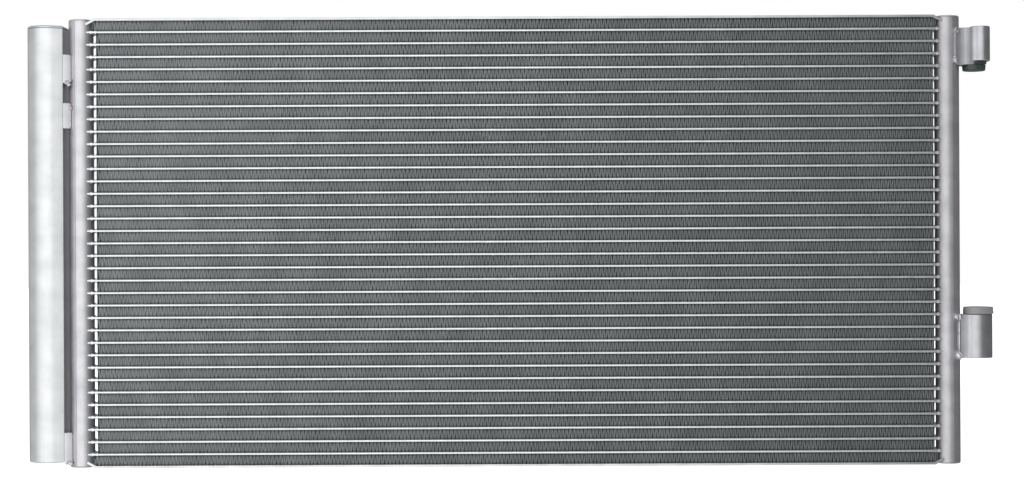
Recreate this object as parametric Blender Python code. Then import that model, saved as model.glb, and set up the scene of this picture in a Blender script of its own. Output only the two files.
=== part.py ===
# Car air conditioning condenser: a brazed aluminium core of flat tubes and folded
# fins between two round headers, with a receiver-drier beside the left header and
# two pipe connection blocks on the right one.
# X runs across the core, the front faces -Y and Z is up. The origin is the centre of
# the outer face of the bottom side plate. All sizes are in metres.

import math

import bmesh
import bpy
from mathutils import Vector

# Gap between neighbouring pieces
CLEARANCE = 0.0003

# Core of tubes and fins
TUBE_COUNT = 35
SUBCOOLING_TUBES = 12
TUBE_THICKNESS = 0.002
TUBE_DEPTH = 0.016
TUBE_END_INSET = 0.004
TUBE_FOOT_SINK = 0.0005
NOSE_FACETS = 2
FIN_HEIGHT = 0.008
FIN_FOIL = 0.0003
FIN_WAVES = 11
FIN_END_GAP = 0.004
PLATE_THICKNESS = 0.002
PLATE_OVERHANG = 0.0008
PLATE_BEND_GAP = 0.0025
PLATE_END_INSET = 0.0056
PLATE_JOG = 0.0038

# Round headers
HEADER_SPACING = 0.700
HEADER_MARGIN = 0.002
HEADER_WALL = 0.0015
HEADER_INSET = 0.0005
HEADER_CORE_ARC = math.radians(135)
HEADER_CORE_FACETS = 3
HEADER_OUTER_FACETS = 11
HEADER_CAP_LID = 0.0012
HEADER_CAP_EDGE = 0.0005
HEADER_CAP_SKIRT = 0.002
BAFFLE_THICKNESS = 0.0015

# Receiver-drier
DRIER_RADIUS = 0.016
DRIER_WALL = 0.003
DRIER_FLAT_CUT = 0.0016
DRIER_FACE_TURN = math.radians(26)
DRIER_GAP = 0.0007
DRIER_BOTTOM = 0.005
DRIER_TOP_DROP = 0.006
DRIER_EDGE = 0.0012
DRIER_SIDES = 24
DRIER_ROUND_FACETS = 16
DRIER_CAP_LID = 0.002
DRIER_CAP_EDGE = 0.0014
DRIER_CAP_FOOT = 0.006
PLUG_RECESS = 0.0015
PLUG_HEIGHT = 0.007
PLUG_SOCKET_RADIUS = 0.0046
PLUG_SOCKET_DEPTH = 0.004
PLUG_GROOVE_RISE = 0.0048
SEAL_HEIGHT = 0.0016
SEAL_WIDTH = 0.0016
FILTER_HEIGHT = 0.030
FILTER_FLANGE = 0.002
FILTER_BODY_RADIUS = 0.0095
FILTER_WALL = 0.0012
FILTER_SIDES = 12
FILTER_WINDOWS = 4
FILTER_WINDOW_WIDTH = 0.008
FILTER_WINDOW_HEIGHT = 0.018
BAG_SIDE_GAP = 0.0012
BAG_SEAT_RADIUS = 0.0102
BAG_WAIST_RADIUS = 0.011
BAG_NECK_RADIUS = 0.0068
BAG_SHOULDER = 0.008
BAG_HEADROOM = 0.112
BAG_SIDES = 12

# Saddles and flow block between the drier and the left header
SADDLE_HEADER_ANGLE = math.radians(46.5)
UPPER_SADDLE_DROP = 0.029
UPPER_SADDLE_HEIGHT = 0.023
MIDDLE_SADDLE_DROP = 0.068
MIDDLE_SADDLE_HEIGHT = 0.0205
FLOW_BLOCK_BOTTOM = 0.004
FLOW_BLOCK_HEIGHT = 0.025
RETURN_HOLE_RISE = 0.019

# Flow passages
PASSAGE_RADIUS = 0.0035
PASSAGE_SIDES = 10
PORT_RADIUS = 0.0055
PORT_SIDES = 16
PORT_END_WALL = 0.006

# Inlet block at the top right
INLET_DROP = 0.0096
INLET_HEIGHT = 0.0308
INLET_BOSS_RISE = 0.003
INLET_NECK_DROP = 0.001
INLET_SPOT_MARGIN = 0.0006
INLET_PORT_GAP = 0.012
INLET_BOSS_LENGTH = 0.0238
INLET_HALF_DEPTH = 0.0135
INLET_CORNER = 0.0068
INLET_CORNER_START = math.radians(234)
INLET_CORNER_FACETS = 6
INLET_NECK_STEP = 0.001
INLET_RIB_GAP = 0.0035
INLET_RIB_RADIUS = 0.0042
INLET_RIB_BULGE = 0.0006
INLET_RIB_START = math.radians(230)
INLET_RIB_END = math.radians(320)
INLET_RIB_FACETS = 5

# Outlet block at the lower right
OUTLET_BAFFLE_DROP = 0.0053
OUTLET_HEIGHT = 0.0353
OUTLET_PORT_GAP = 0.0146
OUTLET_BOSS_RADIUS = 0.0112
OUTLET_FLAT_HALF = math.radians(8)
OUTLET_BOSS_FACETS = 9
OUTLET_NECK_HALF = 0.0065

# Dust caps on the two ports
PORT_CAP_SIDES = 16
INLET_CAP_RADIUS = 0.00995
INLET_CAP_HEIGHT = 0.0072
INLET_CAP_TAPER = 0.0009
OUTLET_CAP_RADIUS = 0.0122
OUTLET_CAP_HEIGHT = 0.0056
OUTLET_CAP_TAPER = 0.0004
PORT_CAP_EDGE = 0.0008
STEM_LENGTH = 0.008
STEM_WALL = 0.0014

# Smallest angle between faces that still shows as an edge
TURNED_EDGE = math.radians(32)
HEADER_EDGE = math.radians(48)
SOFT_EDGE = math.radians(60)

# Heights and reaches that follow from the sizes above
TUBE_PITCH = TUBE_THICKNESS + FIN_HEIGHT
FIN_ROWS = TUBE_COUNT + 1
CORE_HEIGHT = 2 * PLATE_THICKNESS + TUBE_COUNT * TUBE_THICKNESS + FIN_ROWS * FIN_HEIGHT
HEADER_RADIUS = TUBE_DEPTH / 2 + HEADER_MARGIN
HEADER_X = HEADER_SPACING / 2
TUBE_HALF = HEADER_X - TUBE_END_INSET
FIN_HALF = HEADER_X - HEADER_RADIUS - FIN_END_GAP
FIN_DEPTH = TUBE_DEPTH - TUBE_THICKNESS
HEADER_LOW = HEADER_INSET + HEADER_CAP_LID + CLEARANCE
HEADER_HIGH = CORE_HEIGHT - HEADER_LOW
DRIER_X = HEADER_RADIUS + DRIER_GAP + DRIER_RADIUS
BAFFLE_MIDDLE = PLATE_THICKNESS + SUBCOOLING_TUBES * TUBE_PITCH + FIN_HEIGHT / 2
DRIER_TOP = CORE_HEIGHT - DRIER_TOP_DROP
PLUG_BOTTOM = DRIER_BOTTOM + PLUG_RECESS
DRIER_FLAT = DRIER_RADIUS - DRIER_FLAT_CUT
PLUG_RADIUS = DRIER_RADIUS - DRIER_WALL - CLEARANCE
FILTER_BOTTOM = PLUG_BOTTOM + PLUG_HEIGHT + CLEARANCE
BAG_RADIUS = PLUG_RADIUS - BAG_SIDE_GAP
BAG_BOTTOM = FILTER_BOTTOM + FILTER_HEIGHT + CLEARANCE
BAG_HEIGHT = DRIER_TOP - BAG_HEADROOM - BAG_BOTTOM
UPPER_SADDLE_BOTTOM = CORE_HEIGHT - UPPER_SADDLE_DROP - UPPER_SADDLE_HEIGHT
MIDDLE_SADDLE_BOTTOM = CORE_HEIGHT - MIDDLE_SADDLE_DROP - MIDDLE_SADDLE_HEIGHT
FEED_HOLE = MIDDLE_SADDLE_BOTTOM + MIDDLE_SADDLE_HEIGHT / 2
RETURN_HOLE = FLOW_BLOCK_BOTTOM + RETURN_HOLE_RISE
INLET_TOP = CORE_HEIGHT - INLET_DROP
INLET_BOTTOM = INLET_TOP - INLET_HEIGHT
INLET_FACE = INLET_BOTTOM + INLET_BOSS_RISE
INLET_HOLE = (INLET_FACE + INLET_TOP) / 2
INLET_PORT_X = HEADER_RADIUS + INLET_PORT_GAP
INLET_REACH = HEADER_RADIUS + INLET_BOSS_LENGTH
INLET_NECK_HALF = HEADER_RADIUS - INLET_NECK_STEP
INLET_RIB_X = HEADER_RADIUS + INLET_RIB_GAP
INLET_WAIST = INLET_RIB_X + INLET_RIB_RADIUS * math.cos(INLET_RIB_END)
OUTLET_FACE = BAFFLE_MIDDLE - OUTLET_BAFFLE_DROP
OUTLET_BOTTOM = OUTLET_FACE - OUTLET_HEIGHT
OUTLET_HOLE = (OUTLET_BOTTOM + OUTLET_FACE) / 2
OUTLET_PORT_X = HEADER_RADIUS + OUTLET_PORT_GAP


def clear_scene():
    """Remove every object, so that the model starts from nothing."""
    for obj in list(bpy.data.objects):
        bpy.data.objects.remove(obj)


def finish_material(name, colour, roughness, metallic):
    """Principled material with one colour and one finish."""
    material = bpy.data.materials.new(name)
    material.use_nodes = True
    shader = material.node_tree.nodes["Principled BSDF"]
    shader.inputs["Base Color"].default_value = (*colour, 1.0)
    shader.inputs["Roughness"].default_value = roughness
    shader.inputs["Metallic"].default_value = metallic
    material.diffuse_color = (*colour, 1.0)
    return material


def along(axis, u, v, w):
    """Point of an outline (u, v) at the height w along the sweep axis."""
    if axis == "X":
        return Vector((w, u, v))
    if axis == "Y":
        return Vector((u, w, v))
    return Vector((u, v, w))


def add_object(name, bm, material=None):
    """Put a mesh under construction into the scene as one closed object."""
    bmesh.ops.recalc_face_normals(bm, faces=bm.faces)
    mesh = bpy.data.meshes.new(name)
    bm.to_mesh(mesh)
    bm.free()
    obj = bpy.data.objects.new(name, mesh)
    bpy.context.collection.objects.link(obj)
    if material:
        mesh.materials.append(material)
    return obj


def prism(name, outline, low, high, axis="Z", material=None):
    """Solid made by sweeping a flat outline along one axis."""
    bm = bmesh.new()
    base = bm.faces.new([bm.verts.new(along(axis, u, v, low)) for u, v in outline])
    swept = bmesh.ops.extrude_face_region(bm, geom=[base])
    tops = [item for item in swept["geom"] if isinstance(item, bmesh.types.BMVert)]
    bmesh.ops.translate(bm, verts=tops, vec=along(axis, 0, 0, high - low))
    return add_object(name, bm, material)


def lofted(name, loops, material=None, closed=False):
    """Solid skinned over loops of (outline, height), all with the same point count.
    A closed loft joins the last loop to the first and needs no end faces."""
    bm = bmesh.new()
    rings = [[bm.verts.new((u, v, height)) for u, v in outline] for outline, height in loops]
    pairs = list(zip(rings, rings[1:]))
    if closed:
        pairs.append((rings[-1], rings[0]))
    else:
        bm.faces.new(rings[0])
        bm.faces.new(rings[-1])
    for lower, upper in pairs:
        for index in range(len(lower)):
            following = (index + 1) % len(lower)
            bm.faces.new((lower[index], lower[following], upper[following], upper[index]))
    return add_object(name, bm, material)


def carve(target, cutters, operation="DIFFERENCE"):
    """Apply exact booleans to the target and remove the cutters."""
    for cutter in cutters:
        modifier = target.modifiers.new(cutter.name, "BOOLEAN")
        modifier.operation = operation
        modifier.solver = "EXACT"
        modifier.object = cutter
    depsgraph = bpy.context.evaluated_depsgraph_get()
    carved = bpy.data.meshes.new_from_object(target.evaluated_get(depsgraph))
    carved.name = target.name
    target.modifiers.clear()
    target.data = carved
    for cutter in cutters:
        bpy.data.objects.remove(cutter)
    return target


def smooth_round(obj, sharp_angle=TURNED_EDGE):
    """Shade a turned piece smooth, with its real edges kept sharp."""
    obj.data.shade_smooth()
    obj.data.set_sharp_from_angle(angle=sharp_angle)
    return obj


def arc(centre, radius, start, end, count):
    """Points of a circular arc, both ends included."""
    angles = [start + (end - start) * step / count for step in range(count + 1)]
    return [(centre[0] + radius * math.cos(a), centre[1] + radius * math.sin(a)) for a in angles]


def circle(radius, sides, centre=(0.0, 0.0)):
    """Regular outline with a flat side facing +X and -X when the sides are even."""
    half_step = math.pi / sides
    return arc(centre, radius, half_step, 2 * math.pi - half_step, sides - 1)


def mirrored(front):
    """Closed outline from its front half, repeated behind y = 0."""
    return front + [(x, -y) for x, y in reversed(front)]


def ribbon(path, thickness):
    """Closed outline of a sheet of even thickness bent along a path, with mitred bends."""
    half = thickness / 2
    points = [Vector(point) for point in path]
    left, right = [], []
    for index, point in enumerate(points):
        before = (point - points[index - 1]).normalized() if index else None
        after = (points[index + 1] - point).normalized() if index + 1 < len(points) else None
        before = before or after
        after = after or before
        normal = Vector((-before.y, before.x)) + Vector((-after.y, after.x))
        normal.normalize()
        reach = half / normal.dot(Vector((-after.y, after.x)))
        left.append(tuple(point + normal * reach))
        right.append(tuple(point - normal * reach))
    return left + right[::-1]


# Core


def tube_section():
    """Flat tube with rounded noses, as (y, z) about its own centre."""
    radius = TUBE_THICKNESS / 2
    reach = TUBE_DEPTH / 2 - radius
    front = arc((-reach, 0), radius, math.radians(90), math.radians(270), NOSE_FACETS)
    back = arc((reach, 0), radius, math.radians(-90), math.radians(90), NOSE_FACETS)
    return front + back


def fin_strip(name):
    """Folded fin strip standing on a carrier whose top lies at z = 0. Its two end legs
    stand in the carrier, and its crests stay clear of the tubes above and below."""
    low = CLEARANCE + FIN_FOIL / 2
    high = FIN_HEIGHT - CLEARANCE - FIN_FOIL / 2
    pitch = FIN_HALF / FIN_WAVES
    path = [(-FIN_HALF, -TUBE_FOOT_SINK)]
    for fold in range(2 * FIN_WAVES + 1):
        path.append((-FIN_HALF + fold * pitch, low if fold % 2 else high))
    path.append((FIN_HALF, -TUBE_FOOT_SINK))
    return prism(name, ribbon(path, FIN_FOIL), -FIN_DEPTH / 2, FIN_DEPTH / 2, "Y")


def tube_height(number):
    """Height of a tube's middle, counted from 0 at the bottom."""
    return PLATE_THICKNESS + FIN_HEIGHT + TUBE_THICKNESS / 2 + number * TUBE_PITCH


def tubes_and_fins(material):
    """Flat tubes, each with the fin strip that is brazed on top of it."""
    first = prism("tube_and_fin_01", tube_section(), -TUBE_HALF, TUBE_HALF, "X", material)
    strip = fin_strip("strip_above_tube")
    strip.location.z = TUBE_THICKNESS / 2
    carve(first, [strip], "UNION")
    for number in range(TUBE_COUNT):
        obj = first
        if number:
            obj = bpy.data.objects.new(f"tube_and_fin_{number + 1:02d}", first.data)
            bpy.context.collection.objects.link(obj)
        obj.location.z = tube_height(number)


def side_plate(name, material):
    """Side plate with both ends bent towards the core and notched round the headers.
    It is drawn as the bottom plate, with its outer face at z = 0."""
    level = PLATE_THICKNESS / 2
    bend = HEADER_X - HEADER_RADIUS - PLATE_BEND_GAP
    tip = HEADER_X - PLATE_END_INSET
    half_depth = TUBE_DEPTH / 2 + PLATE_OVERHANG
    path = [(-tip, level + PLATE_JOG), (-bend, level), (bend, level), (tip, level + PLATE_JOG)]
    outline = ribbon(path, PLATE_THICKNESS)
    plate = prism(name, outline, -half_depth, half_depth, "Y", material)
    return carve(plate, [header_space(-1), header_space(1)])


def side_plates(material):
    """Bottom plate with the lowest fin strip on it, and the top plate turned over."""
    bottom = side_plate("bottom_side_plate", material)
    strip = fin_strip("strip_above_plate")
    strip.location.z = PLATE_THICKNESS
    carve(bottom, [strip], "UNION")
    top = side_plate("top_side_plate", material)
    top.rotation_euler.y = math.pi
    top.location.z = CORE_HEIGHT


# Headers


def header_outline(radius):
    """Outline about the header's axis, core side towards +X. The side with the tube
    slots has wider facets than the side that shows."""
    half = HEADER_CORE_ARC / 2
    core = arc((0, 0), radius, -half, half, HEADER_CORE_FACETS)
    outer = arc((0, 0), radius, half, 2 * math.pi - half, HEADER_OUTER_FACETS)
    return core + outer[1:-1]


def on_side(outline, side):
    """Move an outline drawn about a header's axis to the left (-1) or right (1) header."""
    return [(side * HEADER_X - side * x, y) for x, y in outline]


def header_space(side):
    """Cutter that clears a header and its gap, longer than the header at both ends."""
    outline = on_side(header_outline(HEADER_RADIUS + CLEARANCE), side)
    return prism("header_space", outline, -CORE_HEIGHT, 2 * CORE_HEIGHT)


def slot_cutters():
    """One box for each tube that enters a header, core side towards +X."""
    half_depth = TUBE_DEPTH / 2 + CLEARANCE
    half_height = TUBE_THICKNESS / 2 + CLEARANCE
    near = TUBE_END_INSET - CLEARANCE
    outline = [(-half_depth, -half_height), (half_depth, -half_height),
               (half_depth, half_height), (-half_depth, half_height)]
    bm = bmesh.new()
    for number in range(TUBE_COUNT):
        z = tube_height(number)
        base = bm.faces.new([bm.verts.new((near, y, z + rise)) for y, rise in outline])
        swept = bmesh.ops.extrude_face_region(bm, geom=[base])
        tops = [item for item in swept["geom"] if isinstance(item, bmesh.types.BMVert)]
        bmesh.ops.translate(bm, verts=tops, vec=(2 * HEADER_RADIUS, 0, 0))
    return add_object("slots", bm)


def header_tube(name, side, holes, material):
    """Round header with a slot for every tube and round holes on its outer side."""
    ends = (HEADER_LOW, HEADER_HIGH)
    outer = header_outline(HEADER_RADIUS)
    inner = header_outline(HEADER_RADIUS - HEADER_WALL)
    loops = [(inner, ends[0]), (outer, ends[0]), (outer, ends[1]), (inner, ends[1])]
    header = lofted(name, loops, material, closed=True)
    cutters = [slot_cutters()]
    for height in holes:
        cutters.append(passage(-2 * HEADER_RADIUS, -HEADER_RADIUS / 2, height))
    carve(header, cutters)
    if side > 0:
        header.rotation_euler.z = math.pi
    header.location.x = side * HEADER_X
    return smooth_round(header, HEADER_EDGE)


def passage(start, end, height):
    """Round cutter along X at one height."""
    outline = circle(PASSAGE_RADIUS, PASSAGE_SIDES, (0.0, height))
    return prism("passage", outline, start, end, "X")


def header_cap(name, side, top, material):
    """Disc that plugs the header's end, with an eased lid over the rim."""
    skirt = header_outline(HEADER_RADIUS - HEADER_WALL - CLEARANCE)
    lid = header_outline(HEADER_RADIUS)
    lid_top = header_outline(HEADER_RADIUS - HEADER_CAP_EDGE)
    lid_height = CLEARANCE + HEADER_CAP_LID
    loops = [(skirt, -HEADER_CAP_SKIRT), (skirt, CLEARANCE), (lid, CLEARANCE),
             (lid, lid_height - HEADER_CAP_EDGE), (lid_top, lid_height)]
    cap = lofted(name, loops, material)
    if top:
        cap.location = (side * HEADER_X, 0, HEADER_HIGH)
        cap.rotation_euler.z = math.pi if side > 0 else 0.0
    else:
        cap.location = (side * HEADER_X, 0, HEADER_LOW)
        cap.rotation_euler = (math.pi, 0, math.pi if side > 0 else 0.0)
    return smooth_round(cap, HEADER_EDGE)


def header_baffle(name, side, material):
    """Disc that parts the condensing tubes from the subcooling tubes."""
    outline = on_side(header_outline(HEADER_RADIUS - HEADER_WALL - CLEARANCE), side)
    low = BAFFLE_MIDDLE - BAFFLE_THICKNESS / 2
    return prism(name, outline, low, low + BAFFLE_THICKNESS, material=material)


# Receiver-drier


def drier_outline(radius, sides=DRIER_SIDES):
    """Circle about the drier's axis."""
    return circle(radius, sides, (-HEADER_X - DRIER_X, 0.0))


def flange_front(x, radius):
    """Depth of the tank's front flange face at a distance from the drier's axis. The face
    is tangent to the round side, at the turn of the flange faces from the front."""
    return (x * math.sin(DRIER_FACE_TURN) - radius) / math.cos(DRIER_FACE_TURN)


def tank_outline(inset=0.0):
    """Plan of the extruded tank: round, with two flange faces that run on towards the
    header and end at a flat side between them."""
    axis_x = -HEADER_X - DRIER_X
    radius = DRIER_RADIUS - inset
    flat = DRIER_FLAT - inset
    start = math.pi / 2 - DRIER_FACE_TURN
    side = arc((axis_x, 0), radius, start, 2 * math.pi - start, DRIER_ROUND_FACETS)
    ridge = flange_front(flat, radius)
    return side + [(axis_x + flat, ridge), (axis_x + flat, -ridge)]


def drier_tank(material):
    """Extruded tank, bored through, with a feed hole and a return hole."""
    rim = DRIER_TOP - DRIER_CAP_LID - CLEARANCE
    loops = [(tank_outline(DRIER_EDGE), DRIER_BOTTOM), (tank_outline(), DRIER_BOTTOM + DRIER_EDGE),
             (tank_outline(), rim)]
    tank = lofted("receiver_drier_tank", loops, material)
    bore = prism("bore", drier_outline(DRIER_RADIUS - DRIER_WALL), -CORE_HEIGHT, 2 * CORE_HEIGHT)
    start = -HEADER_X - DRIER_X + DRIER_RADIUS / 2
    end = -HEADER_X - DRIER_X + 2 * DRIER_RADIUS
    carve(tank, [bore, passage(start, end, FEED_HOLE), passage(start, end, RETURN_HOLE)])
    return smooth_round(tank)


def drier_top_cap(material):
    """Cap with the tank's plan and an eased rim, over a round foot that plugs the bore."""
    seat = DRIER_TOP - DRIER_CAP_LID
    loops = [(tank_outline(), seat), (tank_outline(), DRIER_TOP - DRIER_CAP_EDGE),
             (tank_outline(DRIER_CAP_EDGE), DRIER_TOP)]
    cap = lofted("drier_top_cap", loops, material)
    middle = DRIER_TOP - DRIER_CAP_LID / 2
    foot = prism("foot", drier_outline(PLUG_RADIUS), seat - DRIER_CAP_FOOT, middle)
    return smooth_round(carve(cap, [foot], "UNION"))


def drier_bottom_plug(material):
    """Plug recessed in the tank's bottom, with a groove for its seal and a hexagon
    socket to turn it by."""
    full = drier_outline(PLUG_RADIUS)
    groove = drier_outline(PLUG_RADIUS - SEAL_WIDTH - CLEARANCE)
    groove_low = PLUG_BOTTOM + PLUG_GROOVE_RISE
    groove_high = groove_low + SEAL_HEIGHT + 2 * CLEARANCE
    loops = [(full, PLUG_BOTTOM), (full, groove_low), (groove, groove_low), (groove, groove_high),
             (full, groove_high), (full, PLUG_BOTTOM + PLUG_HEIGHT)]
    plug = lofted("drier_bottom_plug", loops, material)
    hexagon = drier_outline(PLUG_SOCKET_RADIUS, 6)
    socket = prism("socket", hexagon, PLUG_BOTTOM - PLUG_HEIGHT, PLUG_BOTTOM + PLUG_SOCKET_DEPTH)
    return smooth_round(carve(plug, [socket]))


def drier_plug_seal(material):
    """Rubber ring that lies in the plug's groove."""
    outer = drier_outline(PLUG_RADIUS)
    inner = drier_outline(PLUG_RADIUS - SEAL_WIDTH)
    low = PLUG_BOTTOM + PLUG_GROOVE_RISE + CLEARANCE
    high = low + SEAL_HEIGHT
    loops = [(inner, low), (outer, low), (outer, high), (inner, high)]
    return smooth_round(lofted("drier_plug_seal", loops, material, closed=True))


def drier_filter(material):
    """Basket on the bottom plug, with windows in its side and a flange that meets the tank."""
    low = FILTER_BOTTOM
    high = low + FILTER_HEIGHT
    flange = drier_outline(PLUG_RADIUS, FILTER_SIDES)
    body = drier_outline(FILTER_BODY_RADIUS, FILTER_SIDES)
    hollow = drier_outline(FILTER_BODY_RADIUS - FILTER_WALL, FILTER_SIDES)
    loops = [(hollow, low + FILTER_WALL), (hollow, high), (flange, high),
             (flange, high - FILTER_FLANGE), (body, high - FILTER_FLANGE), (body, low)]
    basket = lofted("drier_filter", loops, material)
    windows = [filter_window(index, low + FILTER_HEIGHT / 2) for index in range(FILTER_WINDOWS)]
    return smooth_round(carve(basket, windows))


def filter_window(index, middle):
    """Cutter for one window in the filter basket's side."""
    half_width = FILTER_WINDOW_WIDTH / 2
    half_height = FILTER_WINDOW_HEIGHT / 2
    outline = [(-half_width, -half_height), (half_width, -half_height),
               (half_width, half_height), (-half_width, half_height)]
    window = prism("window", outline, FILTER_BODY_RADIUS / 2, 2 * FILTER_BODY_RADIUS, "X")
    window.rotation_euler.z = 2 * math.pi * index / FILTER_WINDOWS
    window.location = (-HEADER_X - DRIER_X, 0, middle)
    return window


def desiccant_bag(material):
    """Soft bag of desiccant beads that stands on the filter's flange, drawn in at the top."""
    shape = [(BAG_SEAT_RADIUS, 0), (BAG_RADIUS, BAG_SHOULDER), (BAG_WAIST_RADIUS, BAG_HEIGHT / 2),
             (BAG_RADIUS, BAG_HEIGHT - BAG_SHOULDER), (BAG_NECK_RADIUS, BAG_HEIGHT)]
    loops = [(drier_outline(radius, BAG_SIDES), BAG_BOTTOM + rise) for radius, rise in shape]
    return smooth_round(lofted("desiccant_bag", loops, material), SOFT_EDGE)


# Saddles and flow block


def saddle(name, low, height, material, hole=None):
    """Block between the tank's flat side and the header. Its front and back carry on the
    tank's flange faces, and its far end wraps the header."""
    near = DRIER_FLAT + CLEARANCE
    far = DRIER_X - HEADER_RADIUS * math.cos(SADDLE_HEADER_ANGLE)
    front = [(x - HEADER_X - DRIER_X, flange_front(x, DRIER_RADIUS)) for x in (near, far)]
    block = prism(name, mirrored(front), low, low + height, material=material)
    cutters = [header_space(-1)]
    if hole:
        cutters.append(passage(-HEADER_X - DRIER_X, -HEADER_X, hole))
    return smooth_round(carve(block, cutters))


# Connection blocks and their dust caps


def inlet_outline():
    """Plan of the inlet block about the header's axis: a neck that wraps the header,
    a rounded rib, a waist and a deeper boss."""
    rib_middle = (INLET_RIB_X, INLET_RIB_RADIUS - INLET_NECK_HALF - INLET_RIB_BULGE)
    rib = arc(rib_middle, INLET_RIB_RADIUS, INLET_RIB_START, INLET_RIB_END, INLET_RIB_FACETS)
    corner_middle = (INLET_REACH - INLET_CORNER, INLET_CORNER - INLET_HALF_DEPTH)
    boss = arc(corner_middle, INLET_CORNER, INLET_CORNER_START, 2 * math.pi, INLET_CORNER_FACETS)
    return mirrored([(HEADER_RADIUS / 4, -INLET_NECK_HALF)] + rib + boss)


def outlet_outline():
    """Plan of the outlet block about the header's axis: a neck and a round boss with
    a narrow flat at its far end."""
    start = math.pi + math.asin(OUTLET_NECK_HALF / OUTLET_BOSS_RADIUS)
    end = 2 * math.pi - OUTLET_FLAT_HALF
    boss = arc((OUTLET_PORT_X, 0), OUTLET_BOSS_RADIUS, start, end, OUTLET_BOSS_FACETS)
    return mirrored([(HEADER_RADIUS / 4, -OUTLET_NECK_HALF)] + boss)


def box(name, low, high):
    """Cutter with its faces along the axes, between two opposite corners."""
    outline = [(low[0], low[1]), (high[0], low[1]), (high[0], high[1]), (low[0], high[1])]
    return prism(name, outline, low[2], high[2])


def connection_block(name, outline, heights, port, hole, material):
    """Block on the right header with a blind port and a cross passage into the header.
    The port is given by its distance from the header, its face and its blind end."""
    port_x, face, end = port
    beyond = 2 * face - end
    plan = [(HEADER_X + x, y) for x, y in outline]
    block = prism(name, plan, *heights, material=material)
    mouth = circle(PORT_RADIUS, PORT_SIDES, (HEADER_X + port_x, 0))
    bore = prism("bore", mouth, min(end, beyond), max(end, beyond))
    cross = passage(HEADER_X, HEADER_X + port_x, hole)
    return carve(block, [header_space(1), cross, bore])


def inlet_block(material):
    """Upper block, with its port facing down. The boss starts above the neck's lower end,
    stands a little higher than the neck and has a round spot face about the port."""
    heights = (INLET_BOTTOM, INLET_TOP)
    port = (INLET_PORT_X, INLET_FACE, INLET_TOP - PORT_END_WALL)
    block = connection_block("inlet_block", inlet_outline(), heights, port, INLET_HOLE, material)
    waist = HEADER_X + INLET_WAIST
    far = HEADER_X + 2 * INLET_REACH
    wide = 2 * INLET_HALF_DEPTH
    below = INLET_BOTTOM - INLET_HEIGHT
    above = INLET_TOP + INLET_HEIGHT
    under_boss = box("under_boss", (waist, -wide, below), (far, wide, INLET_FACE))
    over_neck = box("over_neck", (0, -wide, INLET_TOP - INLET_NECK_DROP), (waist, wide, above))
    spot = circle(INLET_CAP_RADIUS + INLET_SPOT_MARGIN, PORT_CAP_SIDES, (HEADER_X + INLET_PORT_X, 0))
    spot_face = prism("spot_face", spot, below, INLET_FACE)
    return smooth_round(carve(block, [under_boss, spot_face, over_neck]))


def outlet_block(material):
    """Lower block, with its port facing up."""
    heights = (OUTLET_BOTTOM, OUTLET_FACE)
    port = (OUTLET_PORT_X, OUTLET_FACE, OUTLET_BOTTOM + PORT_END_WALL)
    block = connection_block("outlet_block", outlet_outline(), heights, port, OUTLET_HOLE, material)
    return smooth_round(block)


def port_cap(name, size, material):
    """Moulded dust cap with its head on top and a hollow stem below z = 0. The size
    gives the head's radius, height and taper."""
    radius, height, taper = size
    head = circle(radius, PORT_CAP_SIDES)
    shoulder = circle(radius - taper, PORT_CAP_SIDES)
    face = circle(radius - taper - PORT_CAP_EDGE, PORT_CAP_SIDES)
    stem = circle(PORT_RADIUS - CLEARANCE, PORT_CAP_SIDES)
    hollow = circle(PORT_RADIUS - CLEARANCE - STEM_WALL, PORT_CAP_SIDES)
    loops = [(hollow, height / 2), (hollow, -STEM_LENGTH), (stem, -STEM_LENGTH), (stem, 0),
             (head, 0), (shoulder, height - PORT_CAP_EDGE), (face, height)]
    return smooth_round(lofted(name, loops, material))


def port_caps(inlet_material, outlet_material):
    """Inlet cap hanging under the inlet block, outlet cap standing on the outlet block."""
    inlet_size = (INLET_CAP_RADIUS, INLET_CAP_HEIGHT, INLET_CAP_TAPER)
    inlet = port_cap("inlet_port_cap", inlet_size, inlet_material)
    inlet.rotation_euler.x = math.pi
    inlet.location = (HEADER_X + INLET_PORT_X, 0, INLET_FACE - CLEARANCE)
    outlet_size = (OUTLET_CAP_RADIUS, OUTLET_CAP_HEIGHT, OUTLET_CAP_TAPER)
    outlet = port_cap("outlet_port_cap", outlet_size, outlet_material)
    outlet.location = (HEADER_X + OUTLET_PORT_X, 0, OUTLET_FACE + CLEARANCE)


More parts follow.
